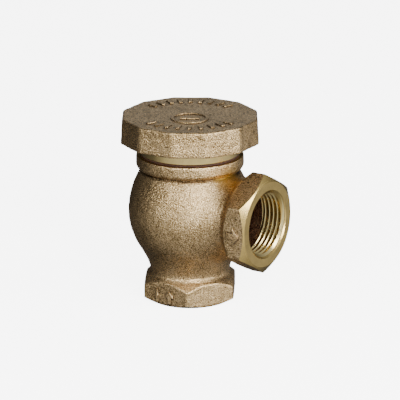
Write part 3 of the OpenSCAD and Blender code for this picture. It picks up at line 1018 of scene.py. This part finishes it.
def make_camera():
    back = direction(AZIMUTH, ELEVATION)
    right = Vector((math.cos(AZIMUTH), math.sin(AZIMUTH), 0))
    up = back.cross(right)
    aim = Vector((0, 0, cad_box[1].z / 2)) + right * AIM_RIGHT + up * AIM_UP
    camera = bpy.data.objects.new("camera", bpy.data.cameras.new("camera"))
    bpy.context.scene.collection.objects.link(camera)
    camera.location = aim + back * DISTANCE
    camera.rotation_euler = back.to_track_quat("Z", "Y").to_euler()
    camera.data.lens = camera.data.sensor_width * DISTANCE / VIEW_WIDTH
    bpy.context.scene.camera = camera


def area_light(name, azimuth, elevation, distance, size, watts, colour=(1, 1, 1)):
    """A soft box that looks at the valve from a direction round it."""
    way = direction(math.radians(azimuth), math.radians(elevation))
    data = bpy.data.lights.new(name, "AREA")
    data.shape, data.size, data.size_y = "RECTANGLE", size[0], size[1]
    data.energy, data.color = watts, colour
    lamp = bpy.data.objects.new(name, data)
    bpy.context.scene.collection.objects.link(lamp)
    lamp.location = LIGHTS_AIM + way * distance
    lamp.rotation_euler = way.to_track_quat("Z", "Y").to_euler()


def pale_finish():
    """Plain white that glows, so that the floor stays pale under soft light."""
    made, _, _, shader = new_finish("pale_floor")
    shader.inputs["Base Color"].default_value = (0.93, 0.93, 0.93, 1)
    shader.inputs["Roughness"].default_value = 0.9
    shader.inputs["Emission Color"].default_value = (1, 1, 1, 1)
    shader.inputs["Emission Strength"].default_value = PALE_GLOW
    return made


def make_floor():
    """A wide floor with a round wall behind it. The room's own light stands in for what they reflect."""
    pale = pale_finish()
    floor_mesh = bpy.data.meshes.new("floor")
    corners = [(FLOOR_REACH * x, FLOOR_REACH * y, 0) for x, y in ((-1, -1), (1, -1), (1, 1), (-1, 1))]
    floor_mesh.from_pydata(corners, [], [(0, 1, 2, 3)])
    floor = put("floor", floor_mesh, [pale])
    floor.visible_glossy = False
    floor.visible_diffuse = False

    turns = [math.radians(a) for a in range(0, 360, 5)]
    points = [(BACKDROP_R * math.cos(a), BACKDROP_R * math.sin(a), z)
              for a in turns for z in (0, BACKDROP_H)]
    total = len(points)
    backdrop_mesh = bpy.data.meshes.new("backdrop")
    backdrop_mesh.from_pydata(points, [], [(i, i + 1, (i + 3) % total, (i + 2) % total)
                                           for i in range(0, total, 2)])
    backdrop = put("backdrop", backdrop_mesh, [pale])
    backdrop.visible_glossy = False
    backdrop.visible_diffuse = False
    backdrop.visible_shadow = False


def from_minus_one(nodes, link, value):
    """Maps -1 to 1 onto 0 to 1, for a ramp."""
    made = add(nodes, "ShaderNodeMapRange")
    made.inputs["From Min"].default_value = -1
    link(value, made.inputs["Value"])
    return made.outputs["Result"]


def greys(*stops):
    """Ramp stops from (position, brightness) pairs."""
    return [(at, (grey, grey, grey)) for at, grey in stops]


def make_world():
    """A soft room: bright toward the key light, dark behind, with a pale table below eye level."""
    world = bpy.data.worlds.new("studio")
    world.use_nodes = True
    nodes, link = world.node_tree.nodes, world.node_tree.links.new
    way_out = add(nodes, "ShaderNodeTexCoord")
    toward = add(nodes, "ShaderNodeVectorMath", operation="DOT_PRODUCT")
    link(way_out.outputs["Generated"], toward.inputs[0])
    toward.inputs[1].default_value = direction(KEY_AZIMUTH, 0)
    lobe = ramp(nodes, [*greys((0.0, 0.03), (0.3, 0.14), (0.5, 0.42)), (0.8, (0.85, 0.84, 0.83)),
                        (1.0, (1.0, 0.99, 0.97))])
    link(from_minus_one(nodes, link, toward.outputs["Value"]), lobe.inputs["Fac"])
    height = add(nodes, "ShaderNodeSeparateXYZ")
    link(way_out.outputs["Generated"], height.inputs["Vector"])
    table = ramp(nodes, greys((0.0, 0.3), (0.34, 0.95), (0.47, 0.9), (0.54, 0.6), (1.0, 0.9)))
    link(from_minus_one(nodes, link, height.outputs["Z"]), table.inputs["Fac"])
    sky = add(nodes, "ShaderNodeMix", data_type="RGBA", blend_type="MULTIPLY")
    sky.inputs["Factor"].default_value = 1
    link(lobe.outputs["Color"], sky.inputs["A"])
    link(table.outputs["Color"], sky.inputs["B"])
    link(sky.outputs["Result"], nodes["Background"].inputs["Color"])
    nodes["Background"].inputs["Strength"].default_value = 1.4
    bpy.context.scene.world = world


make_camera()
area_light("key_box", 58, 21, 0.8, (0.35, 0.4), 8.5)
area_light("side_box", 103, 17, 0.8, (0.2, 0.4), 4)
area_light("front_box", 0, 26, 0.9, (0.3, 0.4), 4.5)
area_light("top_box", 213, 32, 0.9, (0.5, 0.4), 0.6, (0.88, 0.94, 1.0))
make_floor()
make_world()
